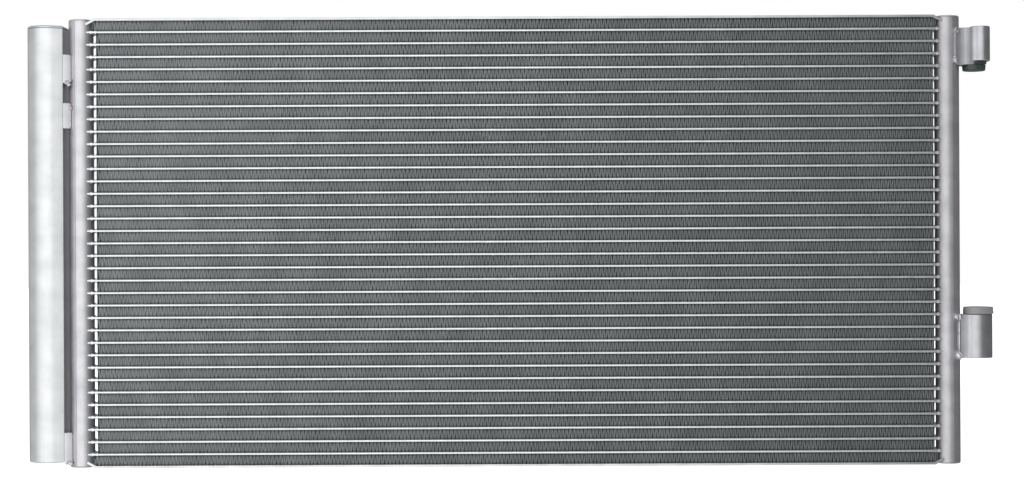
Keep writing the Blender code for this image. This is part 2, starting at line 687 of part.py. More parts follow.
def build():
    """Make every piece of the condenser."""
    clear_scene()
    core = finish_material("brazed tube and fin aluminium", (0.62, 0.64, 0.65), 0.42, 1.0)
    plate = finish_material("rolled side plate aluminium", (0.72, 0.73, 0.74), 0.38, 1.0)
    header = finish_material("brazed header aluminium", (0.68, 0.69, 0.70), 0.34, 1.0)
    tank = finish_material("extruded drier tank aluminium", (0.76, 0.77, 0.78), 0.30, 1.0)
    block = finish_material("extruded block aluminium", (0.70, 0.71, 0.72), 0.32, 1.0)
    dark_cap = finish_material("dark moulded cap", (0.045, 0.055, 0.052), 0.35, 0.0)
    grey_cap = finish_material("grey moulded cap", (0.16, 0.16, 0.165), 0.45, 0.0)
    felt = finish_material("white bag felt", (0.75, 0.73, 0.68), 0.95, 0.0)
    nylon = finish_material("natural filter nylon", (0.55, 0.53, 0.47), 0.55, 0.0)
    rubber = finish_material("black seal rubber", (0.03, 0.03, 0.03), 0.6, 0.0)

    tubes_and_fins(core)
    side_plates(plate)
    header_tube("left_header_tube", -1, [FEED_HOLE, RETURN_HOLE], header)
    header_tube("right_header_tube", 1, [INLET_HOLE, OUTLET_HOLE], header)
    for side, word in ((-1, "left"), (1, "right")):
        header_cap(f"{word}_header_top_cap", side, True, header)
        header_cap(f"{word}_header_bottom_cap", side, False, header)
        header_baffle(f"{word}_header_baffle", side, header)

    drier_tank(tank)
    drier_top_cap(tank)
    drier_bottom_plug(tank)
    drier_plug_seal(rubber)
    drier_filter(nylon)
    desiccant_bag(felt)
    saddle("upper_saddle", UPPER_SADDLE_BOTTOM, UPPER_SADDLE_HEIGHT, block)
    saddle("middle_saddle", MIDDLE_SADDLE_BOTTOM, MIDDLE_SADDLE_HEIGHT, block, FEED_HOLE)
    saddle("lower_flow_block", FLOW_BLOCK_BOTTOM, FLOW_BLOCK_HEIGHT, block, RETURN_HOLE)

    inlet_block(block)
    outlet_block(block)
    port_caps(dark_cap, grey_cap)


build()
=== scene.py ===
"""Car air conditioning condenser, dressed for a studio picture: brazed core with
folded fins, two headers, receiver-drier and two capped pipe blocks.
X runs across the core, the front faces -Y and Z is up. Lengths are in metres, and
those of single pieces are written as millimetres times MM."""

import math

import bmesh
import bpy
import numpy as np
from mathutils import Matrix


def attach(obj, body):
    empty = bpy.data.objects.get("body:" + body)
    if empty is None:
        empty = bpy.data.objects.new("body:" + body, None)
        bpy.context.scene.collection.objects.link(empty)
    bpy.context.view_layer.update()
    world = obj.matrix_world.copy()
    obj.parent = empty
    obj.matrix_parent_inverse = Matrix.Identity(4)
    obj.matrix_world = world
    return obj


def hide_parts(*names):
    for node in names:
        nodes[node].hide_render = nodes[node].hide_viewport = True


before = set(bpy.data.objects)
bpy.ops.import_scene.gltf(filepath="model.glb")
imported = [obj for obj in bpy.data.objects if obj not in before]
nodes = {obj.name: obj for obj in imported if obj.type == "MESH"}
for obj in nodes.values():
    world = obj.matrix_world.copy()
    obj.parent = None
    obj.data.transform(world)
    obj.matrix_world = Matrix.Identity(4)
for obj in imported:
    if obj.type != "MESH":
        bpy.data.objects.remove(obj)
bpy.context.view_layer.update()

MM = 0.001

# Core
TUBE_COUNT = 35
ROW_PITCH = 10 * MM
TUBE_THICKNESS = 2 * MM
TUBE_HALF_LENGTH = 345.5 * MM
TUBE_HALF_DEPTH = 8 * MM
FIRST_TUBE = 11 * MM
FIN_PITCH = 1.5 * MM
FIN_ENDS = (-336.2 * MM, 337.3 * MM)
FULL_FIN_ENDS = (-339.4 * MM, 339.4 * MM)
FIN_HALF_DEPTH = 7.3 * MM
FIN_HEIGHT = 8 * MM
FIN_CREST = 0.7 * MM
FIN_JITTER = 0.14 * MM
# The drift is a sum over this many folds, over about its square root, so it spreads by 1
DRIFT_FOLDS = 41
DRIFT_SPREAD = 6.4
# Drawn thicker than real foil, which would vanish at the picture's size
FOIL = 0.14 * MM
FOIL_OFFSET = 0.0672 * MM
LOUVRE_SHIFT = 1.05 * MM
END_LOUVRE_SHARE = 0.6
FILLET = 0.8 * MM
FILLET_SKIN = 0.05 * MM
FILLET_START = 341 * MM
PLATE_EDGE = 0.3 * MM
CORE_HEIGHT = 362 * MM

# Headers
HEADER_X = 350 * MM
HEADER_RADIUS = 10 * MM
HEADER_LAP = 0.25 * MM
HEADER_LAP_ANGLE = math.radians(105)
HEADER_LAP_WIDTH = math.radians(3)
HEADER_LOW = 2 * MM
HEADER_HIGH = 360 * MM
HEADER_CAP = 1.5 * MM
HEADER_CAP_EDGE = 1.1 * MM
HEADER_CAP_SEAM = 0.25 * MM
HEADER_CAP_STEP = 0.05 * MM
HEADER_WRAP = 10.03 * MM
# Width of the darker band on the headers' core side: flux, and painted shade between the tube ends
FLUX_AND_SHADE_REACH = 8 * MM

# Receiver-drier and the blocks between it and the header
DRIER_X = -376.7 * MM
DRIER_RADIUS = 16 * MM
DRIER_BORE = 13 * MM
DRIER_FLAT = 14.4 * MM
DRIER_FACE_TURN = math.radians(26)
DRIER_LOW = 5 * MM
DRIER_SEAM = 353.85 * MM
DRIER_HIGH = 356 * MM
DRIER_RIDGE = 0.5 * MM
DRIER_FLAT_MIDDLE = 0.4 * MM
DRIER_FOOT_EDGE = 1.5 * MM
DRIER_SEAM_EDGE = 0.3 * MM
DRIER_CAP_EDGES = (0.2 * MM, 1.6 * MM)
SADDLE_START = 14.44 * MM
SADDLE_END = 6.9 * MM
SADDLE_CORNER = 0.35 * MM
SADDLE_EDGE = 0.4 * MM
UPPER_SADDLE = (310 * MM, 333 * MM)
MIDDLE_SADDLE = (273.5 * MM, 294 * MM)
FLOW_BLOCK = (4 * MM, 29 * MM)

# Pipe blocks, from the right header's axis, and their dust caps
INLET_HEIGHTS = (321.6 * MM, 324.6 * MM, 351.4 * MM, 352.4 * MM)
INLET_NECK = 8.8 * MM
INLET_OVERLAP = 1.5 * MM
INLET_RIB = np.array([(5.5, -8.8), (9, -8.55), (12, -8.75), (14, -9.15), (16, -9.45), (18.4, -9.6)]) * MM
INLET_BOSS = np.array([(18.4, -9.6), (19.6, -9.85), (21.2, -10.6), (23, -11.9), (25.4, -13.1), (28, -13.2),
                       (30.8, -11.6), (33, -8.2), (33.8, -3.8), (33.8, -0.5)]) * MM
OUTLET_HEIGHTS = (85.4 * MM, 120.7 * MM)
OUTLET_NECK = 6.5 * MM
OUTLET_WAIST = np.array([(9, -6.5), (12.6, -6.9), (15.6, -7.6), (18.2, -9.3)]) * MM
OUTLET_BOSS = (24.6 * MM, 11.2 * MM)
INLET_PORT_X = 22 * MM
INLET_CAP = (9.95 * MM, 317.1 * MM, 324.4 * MM)
OUTLET_CAP = (12.2 * MM, 120.9 * MM, 126.6 * MM)
BLOCK_EDGE = 0.7 * MM
BLOCK_MIDDLE = 0.5 * MM

# Room of cards that the metal mirrors
LEFT, RIGHT = -1.9, 1.9
FRONT, REAR = -0.62, 0.9
GROUND, ROOF = -0.8, 1.2
REAR_SPLIT = -0.6
FRONT_TONES = [(-1.9, 0.60), (-1.3, 0.92), (-0.9, 1.10), (-0.6, 1.28), (-0.35, 1.34), (-0.1, 1.28),
               (0.05, 1.20), (0.14, 1.10), (0.21, 1.00), (0.28, 0.94), (0.36, 0.86), (0.42, 0.52),
               (0.48, 0.20), (0.62, 0.17), (0.8, 0.26), (1.3, 0.22), (1.9, 0.16)]
FLOOR_REACH = 6.0
FLOOR_LEVEL = -0.5 * MM

# Camera
IMAGE_WIDTH = 1024
CAMERA_DISTANCE = 1.5
CAMERA_LENS = 65.2
CAMERA_ROLL = math.radians(0.27)
SIDE_SHIFT = -2.65 / IMAGE_WIDTH


# Surfaces


def full_turn(steps):
    """Angles from 0 to a full turn."""
    return np.linspace(0, 2 * np.pi, steps + 1)


def tidy(mesh):
    """Merge points that meet and turn every face outwards."""
    shape = bmesh.new()
    shape.from_mesh(mesh)
    bmesh.ops.remove_doubles(shape, verts=shape.verts, dist=MM / 1000)
    bmesh.ops.recalc_face_normals(shape, faces=shape.faces)
    shape.to_mesh(mesh)
    shape.free()


def surface(name, grids, material, crease=35, lids=()):
    """Closed mesh from grids of points: each grid's neighbouring points make quads, each
    lid is one flat face, and points that meet are merged. Edges sharper than the crease
    angle, in degrees, stay crisp."""
    points, faces, start = [], [], 0
    for grid in grids:
        rows, columns = grid.shape[:2]
        index = np.arange(rows * columns).reshape(rows, columns) + start
        corners = (index[:-1, :-1], index[1:, :-1], index[1:, 1:], index[:-1, 1:])
        faces += np.stack(corners, -1).reshape(-1, 4).tolist()
        points.append(grid.reshape(-1, 3))
        start += rows * columns
    for lid in lids:
        faces.append(list(range(start, start + len(lid))))
        points.append(lid)
        start += len(lid)
    mesh = bpy.data.meshes.new(name)
    mesh.from_pydata(np.concatenate(points).tolist(), [], faces)
    tidy(mesh)
    mesh.materials.append(material)
    mesh.shade_smooth()
    mesh.set_sharp_from_angle(angle=math.radians(crease))
    obj = bpy.data.objects.new(name, mesh)
    bpy.context.scene.collection.objects.link(obj)
    return obj


def arc(middle, radius, start, end, steps):
    """Points on a circle from one angle to another, in degrees."""
    angle = np.radians(np.linspace(start, end, steps + 1))
    return np.stack([middle[0] + radius * np.cos(angle), middle[1] + radius * np.sin(angle)], -1)


def rounded(corners, radii, steps=6):
    """Path through the corners, each inner one rounded by an arc of its own radius. The
    arc swings from one tangent point to the other about its middle."""
    corners = np.array(corners, float)
    out = [corners[:1]]
    for before, corner, after, radius in zip(corners, corners[1:], corners[2:], radii):
        if not radius:
            out.append(corner[None])
            continue
        one = (before - corner) / np.linalg.norm(before - corner)
        two = (after - corner) / np.linalg.norm(after - corner)
        half = np.arccos(one @ two) / 2
        middle = corner + (one + two) / np.linalg.norm(one + two) * radius / np.sin(half)
        start = corner + one * radius / np.tan(half) - middle
        end = corner + two * radius / np.tan(half) - middle
        sweep = np.pi - 2 * half
        share = np.linspace(0, 1, steps + 1)[:, None]
        swing = start * np.sin((1 - share) * sweep) + end * np.sin(share * sweep)
        out.append(middle + swing / np.sin(sweep))
    out.append(corners[-1:])
    return np.concatenate(out)


def smooth(points, steps=6):
    """Curve through all the points: between two of them it is the cubic whose slopes at
    both are half the chord between their neighbours."""
    points = np.array(points, float)
    points = np.concatenate([2 * points[:1] - points[1:2], points, 2 * points[-1:] - points[-2:-1]])
    a, b, c, d = points[:-3], points[1:-2], points[2:-1], points[3:]
    t = (np.arange(steps) / steps)[:, None, None]
    bend = (2 * a - 5 * b + 4 * c - d) * t ** 2
    twist = (3 * b - a - 3 * c + d) * t ** 3
    curve = b + 0.5 * ((c - a) * t + bend + twist)
    return np.concatenate([curve.transpose(1, 0, 2).reshape(-1, 2), points[-2:-1]])


def turned(name, profile, middle, material, sides=72):
    """Turned piece: each profile point (radius, height) runs round the vertical axis,
    x = radius cos(angle), y = radius sin(angle)."""
    angle = full_turn(sides)
    radius, height = profile[:, :1], profile[:, 1:]
    x = middle + radius * np.cos(angle)
    grid = np.stack([x, radius * np.sin(angle), height + 0 * angle], -1)
    return surface(name, [grid], material)


def inset(loop, distance):
    """Counter-clockwise plan moved inwards: each corner goes along the sum of its two
    edge normals, by as much as moves both edges by the distance."""
    edge = np.roll(loop, -1, 0) - loop
    normal = np.stack([-edge[:, 1], edge[:, 0]], -1)
    normal /= np.linalg.norm(normal, axis=1, keepdims=True)
    before = np.roll(normal, 1, 0)
    mitre = (before + normal) / (1 + (before * normal).sum(1, keepdims=True))
    return loop + mitre * distance


def block_rings(front, low, high, edges, steps=4):
    """Rings of an upright block whose plan is a front half and its mirror image behind
    y = 0. Its rims are quarter rounds: inset edge (1 - sin a), rise edge (1 - cos a)."""
    loop = np.concatenate([front, front[::-1] * (1, -1)])
    angle = np.linspace(0, np.pi / 2, steps + 1)
    plan = [(edge * (1 - np.sin(angle)), edge * (1 - np.cos(angle))) for edge in edges]
    insets = np.concatenate([plan[0][0], plan[1][0][::-1]])
    heights = np.concatenate([low + plan[0][1], high - plan[1][1][::-1]])
    rings = [np.column_stack([inset(loop, d), np.full(len(loop), z)]) for d, z in zip(insets, heights)]
    return np.stack(rings)


def block(name, front, low, high, edges, material):
    """Upright block with eased rims, closed by a flat face at both ends."""
    rings = block_rings(np.asarray(front), low, high, edges)
    wall = np.concatenate([rings, rings[:, :1]], 1)
    return surface(name, [wall], material, lids=[rings[0], rings[-1]])


def bead(name, path, width, material, lumps, ripple, seed):
    """Weld bead: a round section carried along a path. Its radius swells and shrinks by
    two sines along the path, the larger as long as the ripple, and ends in half rounds."""
    path = np.array(path, float)
    along = np.concatenate([[0], np.cumsum(np.linalg.norm(np.diff(path, axis=0), axis=1))])
    travel = np.linspace(0, along[-1], max(14, int(along[-1] / ripple * 6)))
    line = np.stack([np.interp(travel, along, column) for column in path.T], -1)
    ahead = np.gradient(line, axis=0)
    ahead /= np.linalg.norm(ahead, axis=1, keepdims=True)
    side = np.cross(ahead, (0.31, 0.87, 0.38))
    side /= np.linalg.norm(side, axis=1, keepdims=True)
    other = np.cross(ahead, side)
    phase = np.random.default_rng(seed).uniform(0, 6, 2)
    wave = np.sin(2 * np.pi * travel / ripple + phase[0])
    small_wave = 0.5 * np.sin(15 * travel / ripple + phase[1])
    swell = 1 + lumps * (wave + small_wave)
    ends = np.clip(np.minimum(travel, along[-1] - travel) / (width / 2), 0, 1)
    radius = (width / 2 * swell * np.sqrt(1 - (1 - ends) ** 2))[:, None, None]
    angle = full_turn(14)[None, :, None]
    tube = line[:, None] + radius * (side[:, None] * np.cos(angle) + other[:, None] * np.sin(angle))
    return surface(name, [tube], material, 80)


# Materials


def linear(code):
    """sRGB hex colour as the linear colour that shaders take."""
    srgb = np.array([int(code[k:k + 2], 16) for k in (1, 3, 5)]) / 255
    rgb = np.where(srgb <= 0.04045, srgb / 12.92, ((srgb + 0.055) / 1.055) ** 2.4)
    return (*rgb.tolist(), 1.0)


def add_node(tree, kind, inputs=None, **settings):
    """Add a node with its settings, and give each named input a value or a socket."""
    node = tree.nodes.new(kind)
    for name, value in settings.items():
        setattr(node, name, value)
    for name, value in (inputs or {}).items():
        if isinstance(value, bpy.types.NodeSocket):
            tree.links.new(value, node.inputs[name])
        else:
            node.inputs[name].default_value = value
    return node


def plain(name, colour, roughness, metallic=0.0):
    """Principled material of one colour and one finish."""
    material = bpy.data.materials.new(name)
    material.use_nodes = True
    shader = material.node_tree.nodes["Principled BSDF"]
    shader.inputs["Base Color"].default_value = linear(colour)
    shader.inputs["Roughness"].default_value = roughness
    shader.inputs["Metallic"].default_value = metallic
    material.diffuse_color = linear(colour)
    return material


def grained(name, colours, roughness, grain, patch, depth, metallic=1.0):
    """Metal with a grain. Fine noise with the grain's three sizes lifts the surface and
    changes its gloss, and wide soft patches mix the second colour into the first."""
    material = plain(name, colours[0], roughness[0], metallic)
    tree = material.node_tree
    shader = tree.nodes["Principled BSDF"]
    point = add_node(tree, "ShaderNodeTexCoord").outputs["Object"]
    scale = tuple(1 / size for size in grain)
    fine = add_node(tree, "ShaderNodeMapping", {"Vector": point, "Scale": scale})
    noise = add_node(tree, "ShaderNodeTexNoise", {"Vector": fine.outputs[0], "Scale": 1.0, "Detail": 3.0})
    wide = add_node(tree, "ShaderNodeTexNoise", {"Vector": point, "Scale": 1 / patch, "Detail": 4.0})
    share = add_node(tree, "ShaderNodeMapRange",
                     {0: wide.outputs["Fac"], 1: 0.35, 2: 0.7, 3: 0.0, 4: 1.0})
    both = {0: share.outputs[0], 6: linear(colours[0]), 7: linear(colours[1])}
    mix = add_node(tree, "ShaderNodeMix", both, data_type="RGBA")
    gloss = add_node(tree, "ShaderNodeMapRange",
                     {0: noise.outputs["Fac"], 1: 0.3, 2: 0.7, 3: roughness[0], 4: roughness[1]})
    bump = add_node(tree, "ShaderNodeBump",
                    {"Height": noise.outputs["Fac"], "Distance": depth, "Strength": 1.0})
    tree.links.new(mix.outputs[2], shader.inputs["Base Color"])
    tree.links.new(gloss.outputs[0], shader.inputs["Roughness"])
    tree.links.new(bump.outputs[0], shader.inputs["Normal"])
    return material


def darken(material, tone):
    """Multiply the material's colour by a tone."""
    shader = material.node_tree.nodes["Principled BSDF"]
    colour = shader.inputs["Base Color"].links[0].from_socket
    darker = add_node(material.node_tree, "ShaderNodeMix", {0: 1.0, 6: colour, 7: tone},
                      data_type="RGBA", blend_type="MULTIPLY")
    material.node_tree.links.new(darker.outputs[2], shader.inputs["Base Color"])


def paint_flux_and_shade_core_side(material):
    """Darken the colour towards the core: partly flux that settles between the tube ends, partly painted
    shade that falls between them. The tone follows the distance from the middle of the part."""
    tree = material.node_tree
    point = add_node(tree, "ShaderNodeTexCoord").outputs["Object"]
    along = add_node(tree, "ShaderNodeSeparateXYZ", {0: point}).outputs["X"]
    reach = add_node(tree, "ShaderNodeMath", {0: along}, operation="ABSOLUTE").outputs[0]
    edge = HEADER_X - HEADER_RADIUS
    tone = add_node(tree, "ShaderNodeMapRange",
                    {0: reach, 1: edge, 2: edge + FLUX_AND_SHADE_REACH, 3: 0.5, 4: 0.96})
    darken(material, tone.outputs[0])


def paint_joint_shade(material):
    """Painted shade: darken the colour in a soft band on both sides of every tube, where the foil curves
    away into its joint and lies in shade. The band follows the height, which repeats every row."""
    tree = material.node_tree
    point = add_node(tree, "ShaderNodeTexCoord").outputs["Object"]
    height = add_node(tree, "ShaderNodeSeparateXYZ", {0: point}).outputs["Z"]
    rows = add_node(tree, "ShaderNodeMath", {0: height, 1: TUBE_THICKNESS / 2}, operation="SUBTRACT")
    share = add_node(tree, "ShaderNodeMath", {0: rows.outputs[0], 1: ROW_PITCH / 2}, operation="PINGPONG")
    tone = add_node(tree, "ShaderNodeMapRange",
                    {0: share.outputs[0], 1: 1 * MM, 2: 2.6 * MM, 3: 0.45, 4: 1.0})
    darken(material, tone.outputs[0])


# The grain of every metal is drawn coarser than it is, so that the picture still shows it.
# Brazed sheet: satin, with duller patches where flux dried on it
header_metal = grained("brazed header aluminium", ("#E2E1E5", "#CBCCCF"), (0.40, 0.52),
                       (0.9 * MM, 0.9 * MM, 2.5 * MM), 14 * MM, 0.012 * MM, metallic=0.82)
# Darker towards the core: flux, and painted shade between the tube ends
paint_flux_and_shade_core_side(header_metal)
# Outer shell of the headers: bare sheet, so it mirrors its dark surroundings more clearly
shell_metal = grained("bare header shell aluminium", ("#CFCCD1", "#C0BDC3"), (0.34, 0.44),
                      (0.9 * MM, 0.9 * MM, 2.5 * MM), 14 * MM, 0.012 * MM, metallic=0.88)
# Extruded tank: brighter, with faint lengthwise draw lines
drier_metal = grained("extruded drier aluminium", ("#E8EAEC", "#D8DBDC"), (0.30, 0.42),
                      (0.7 * MM, 0.7 * MM, 30 * MM), 16 * MM, 0.008 * MM)
# Extruded block: satin with fine lengthwise lines
block_metal = grained("extruded block aluminium", ("#CFD0D3", "#BEBFC3"), (0.36, 0.46),
                      (0.5 * MM, 0.5 * MM, 18 * MM), 12 * MM, 0.008 * MM)
# Extruded flat tube: smooth, a little dulled by the furnace
tube_metal = grained("extruded tube aluminium", ("#F0F2F4", "#E2E5E7"), (0.26, 0.38),
                     (6 * MM, 0.8 * MM, 0.8 * MM), 9 * MM, 0.010 * MM)
# Rolled sheet: fine lines along its length
plate_metal = grained("rolled side plate aluminium", ("#E2E3E5", "#CFD0D3"), (0.28, 0.42),
                      (14 * MM, 0.6 * MM, 0.6 * MM), 16 * MM, 0.010 * MM)
# Thin fin foil with dried flux: a pale dull grey with a faint green cast
fin_metal = grained("brazed fin foil aluminium", ("#C6CACA", "#B8BCBE"), (0.78, 0.90),
                    (0.8 * MM, 3 * MM, 3 * MM), 22 * MM, 0.004 * MM, metallic=0.7)
# Painted shade in a band beside every tube, where the foil curves away
paint_joint_shade(fin_metal)
# Weld metal: bright and rippled
weld_metal = grained("aluminium weld bead", ("#E6E5E8", "#CFCDD1"), (0.30, 0.45),
                     (0.6 * MM, 0.6 * MM, 0.6 * MM), 3 * MM, 0.030 * MM)
# Dark moulded cap: low sheen with a green cast
dark_plastic = plain("dark moulded polyethylene", "#3E4846", 0.26)
# Grey moulded cap: soft sheen
grey_plastic = plain("grey moulded polyethylene", "#98989B", 0.30)
# White bag felt: matt
felt = plain("white polyester felt", "#E0DDD3", 0.95)
# Natural nylon: waxy cream
nylon = plain("natural moulded nylon", "#CFCABB", 0.50)
# Seal rubber: matt black
rubber = plain("black seal rubber", "#1C1C1C", 0.60)


# Core


def place(obj, slot_name, *stands_for):
    """Fix a finished piece to the object and hide the solids it stands for. The slot name is not used."""
    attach(obj, "root")
    if stands_for:
        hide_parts(*stands_for)


def flat_tube(number):
    """Flat tube with round noses: two half circles joined by flats, carried along X."""
    nose = TUBE_THICKNESS / 2
    reach = TUBE_HALF_DEPTH - nose
    loop = np.concatenate([arc((-reach, 0), nose, 90, 270, 10), arc((reach, 0), nose, 270, 450, 10)])
    x = np.array([-TUBE_HALF_LENGTH, TUBE_HALF_LENGTH])[:, None]
    y, z = loop.T
    rings = np.stack([x + 0 * y, y + 0 * x, z + FIRST_TUBE + number * ROW_PITCH + 0 * x], -1)
    wall = np.concatenate([rings, rings[:, :1]], 1)
    piece = surface(f"flat_tube_{number + 1:02d}", [wall], tube_metal, lids=list(rings))
    place(piece, "core", f"tube_and_fin_{number + 1:02d}")


def fillets(word, header, fin):
    """Braze fillets round the bare tube ends between header and fins. Along the gap the
    build-up follows a parabola, thin in the middle and thick at both ends."""
    share = np.linspace(-1, 1, 9)[:, None]
    x = (header + fin) / 2 + share * (fin - header) / 2
    skin = TUBE_THICKNESS / 2 + FILLET_SKIN
    nose = skin + FILLET * share ** 2
    angle = np.radians(np.concatenate([np.linspace(90, 270, 9), np.linspace(270, 450, 9)]))
    reach = np.repeat([-1, 1], 9) * (TUBE_HALF_DEPTH - TUBE_THICKNESS / 2)
    y = reach + skin * np.cos(angle)
    grids, lids = [], []
    for number in range(TUBE_COUNT):
        z = FIRST_TUBE + number * ROW_PITCH + nose * np.sin(angle)
        ring = np.stack([x + 0 * y, y + 0 * x, z], -1)
        grids.append(np.concatenate([ring, ring[:, :1]], 1))
        lids += [ring[0], ring[-1]]
    place(surface(f"{word}_fillets", grids, tube_metal, lids=lids), "core")


def fin_strip(row):
    """Folded foil: fold k stands (k + 1/2) pitches from the start with a short flat
    crest, high or low in turn, and an upright leg closes each end. The folds stray a
    little by chance. Both faces lie beside the middle line by about half the foil. Across
    the depth the foil swings to one side and the other twice, as banks of louvres do,
    which leaves next to no view between two folds."""
    start, end = FULL_FIN_ENDS if row in (0, TUBE_COUNT) else FIN_ENDS
    count = int((end - start) / FIN_PITCH)
    random = np.random.default_rng(row)
    strays = random.normal(0, 1, count + DRIFT_FOLDS - 1)
    drift = np.convolve(strays, np.ones(DRIFT_FOLDS) / DRIFT_SPREAD, "valid")
    fold = start + (np.arange(count) + 0.5) * (end - start) / count
    fold = fold + FIN_JITTER * (random.uniform(-1, 1, count) + drift)
    corner = (fold[:, None] + np.array([-0.5, 0.5]) * FIN_CREST).ravel()
    corner[0], corner[-1] = start, end
    x = np.concatenate([corner[:1], corner, corner[-1:]])
    up = (np.arange(count) + row) % 2
    level = np.concatenate([1 - up[:1], np.repeat(up, 2), 1 - up[-1:]])
    rise = 2 * up - 1
    lean = np.concatenate([-rise[:1], np.repeat(rise, 2) * np.tile([-1, 1], count), rise[-1:]])
    low = row * ROW_PITCH + TUBE_THICKNESS + FOIL / 2
    z = low + level * (FIN_HEIGHT - FOIL)
    depth = np.array([-1, -0.75, -0.25, 0.25, 0.75, 1]) * FIN_HALF_DEPTH
    swing = np.array([0, 1, -1, 1, -1, 0]) * LOUVRE_SHIFT
    banks = len(depth)
    round_trip = np.r_[0:banks, banks - 1:-1:-1, 0]
    side = np.repeat([1, -1, 1], [banks, banks, 1]) * FOIL_OFFSET
    inner = np.ones((len(x), 1))
    inner[[2, -3]] = END_LOUVRE_SHARE
    inner[[0, 1, -2, -1]] = 0
    across = x[:, None] + swing[round_trip] * inner + lean[:, None] * side
    grid = np.stack([across, 0 * across + depth[round_trip], z[:, None] + side], -1)
    ends = [np.stack([line[:banks], line[banks:2 * banks][::-1]]) for line in (grid[0], grid[-1])]
    place(surface(f"fin_strip_{row:02d}", [grid] + ends, fin_metal, 30), "core")


def side_plates():
    """Both side plates: the top one's own mesh with its edges eased, and the same mesh
    turned over about the middle of the core for the bottom one."""
    for name, turned_over in (("top_side_plate", False), ("bottom_side_plate", True)):
        mesh = nodes["top_side_plate"].data.copy()
        points = np.empty(len(mesh.vertices) * 3, np.float32)
        mesh.vertices.foreach_get("co", points)
        if turned_over:
            points[2::3] = CORE_HEIGHT - points[2::3]
        mesh.vertices.foreach_set("co", points)
        tidy(mesh)
        mesh.materials.clear()
        mesh.materials.append(plate_metal)
        obj = bpy.data.objects.new(name.replace("side_plate", "rail"), mesh)
        bpy.context.scene.collection.objects.link(obj)
        bevel = obj.modifiers.new("eased edges", "BEVEL")
        bevel.width = PLATE_EDGE
        bevel.segments = 2
        bevel.limit_method = "ANGLE"
        place(obj, "side_plate", name)


# Headers


def header_tube(side, word):
    """Header of two lapped shells: the radius falls by the lap beyond an angle from the
    core, where the bare outer shell begins."""
    angle = full_turn(144)
    away = np.abs((angle + np.pi) % (2 * np.pi) - np.pi)
    step = np.clip((away - HEADER_LAP_ANGLE) / HEADER_LAP_WIDTH, 0, 1)
    radius = HEADER_RADIUS - HEADER_LAP * step
    heights = np.array([HEADER_LOW, HEADER_HIGH])[:, None]
    x = side * (HEADER_X - radius * np.cos(angle)) + 0 * heights
    rings = np.stack([x, radius * np.sin(angle) + 0 * heights, heights + 0 * angle], -1)
    piece = surface(f"{word}_header", [rings], header_metal, 20, lids=list(rings[:, :-1]))
    mesh = piece.data
    mesh.materials.append(shell_metal)
    centres = np.empty(len(mesh.polygons) * 3, np.float32)
    mesh.polygons.foreach_get("center", centres)
    outward = side * centres[0::3] - HEADER_X
    bare = outward > -HEADER_RADIUS * math.cos(HEADER_LAP_ANGLE)
    mesh.polygons.foreach_set("material_index", bare.astype(np.int32))
    place(piece, "header", f"{word}_header_tube")


def header_cap(side, word, top):
    """End cap: a disc with a rounded rim over the tube's end."""
    level, out = (HEADER_HIGH, 1) if top else (HEADER_LOW, -1)
    rim = HEADER_RADIUS - HEADER_LAP - HEADER_CAP_STEP
    face, seam = level + out * HEADER_CAP, level + out * HEADER_CAP_SEAM
    profile = rounded([(0, face), (rim, face), (rim, seam), (0, seam)], [HEADER_CAP_EDGE, 0])
    end = "top" if top else "bottom"
    piece = turned(f"{word}_{end}_end_cap", profile, side * HEADER_X, header_metal)
    place(piece, "header", f"{word}_header_{end}_cap")


# Receiver-drier and the blocks beside it


def flange_front(x):
    """Depth of the tank's front flange face, a tangent to its round side."""
    return (x * math.sin(DRIER_FACE_TURN) - DRIER_RADIUS) / math.cos(DRIER_FACE_TURN)


def tank_front():
    """Front half of the tank's plan: round from the left, the flange face, the ridge and
    half of the flat side."""
    tangent = math.degrees(DRIER_FACE_TURN) + 270
    side = arc((0, 0), DRIER_RADIUS, 181, tangent, 44)
    ridge = rounded([side[-1], (DRIER_FLAT, flange_front(DRIER_FLAT)), (DRIER_FLAT, 0)], [DRIER_RIDGE])[1:-1]
    flat = np.linspace(ridge[-1], (DRIER_FLAT, -DRIER_FLAT_MIDDLE), 12)[1:]
    return np.concatenate([side, ridge, flat])


def drier_tank():
    """Extruded tank, bored through: the outer rings, and a ring of the bore at each end
    at the same angles."""
    rings = block_rings(tank_front(), DRIER_LOW, DRIER_SEAM, (DRIER_FOOT_EDGE, DRIER_SEAM_EDGE))
    across = rings[0, :, :2]
    bore = across / np.linalg.norm(across, axis=1, keepdims=True) * DRIER_BORE
    ends = [np.column_stack([bore, np.full(len(bore), z)])[None] for z in (DRIER_SEAM, DRIER_LOW)]
    rings = np.concatenate([rings] + ends + [rings[:1]])
    rings[..., 0] += DRIER_X
    wall = np.concatenate([rings, rings[:, :1]], 1)
    place(surface("drier_tank", [wall], drier_metal), "drier", "receiver_drier_tank")


def drier_cap():
    """Cap with the tank's plan, a fine seam below it and a rounded rim."""
    front = tank_front() + (DRIER_X, 0)
    low = DRIER_SEAM + DRIER_SEAM_EDGE
    cap = block("drier_cap", front, low, DRIER_HIGH, DRIER_CAP_EDGES, drier_metal)
    place(cap, "drier", "drier_top_cap")


def valley_block(name, heights, node):
    """Block between the tank's flat side and the header. It carries on the flange faces
    and wraps the header."""
    far = -HEADER_X - DRIER_X - SADDLE_END
    corner = (far, flange_front(far))
    wrap = arc((-HEADER_X - DRIER_X, 0), HEADER_WRAP, 226, 181, 12)
    start = (SADDLE_START, flange_front(SADDLE_START))
    face = rounded([start, corner, wrap[0]], [SADDLE_CORNER], 3)
    front = np.concatenate([face[:-1], wrap]) + (DRIER_X, 0)
    piece = block(name, front, heights[0], heights[1], (SADDLE_EDGE, SADDLE_EDGE), drier_metal)
    place(piece, "block", node)


# Pipe blocks and dust caps


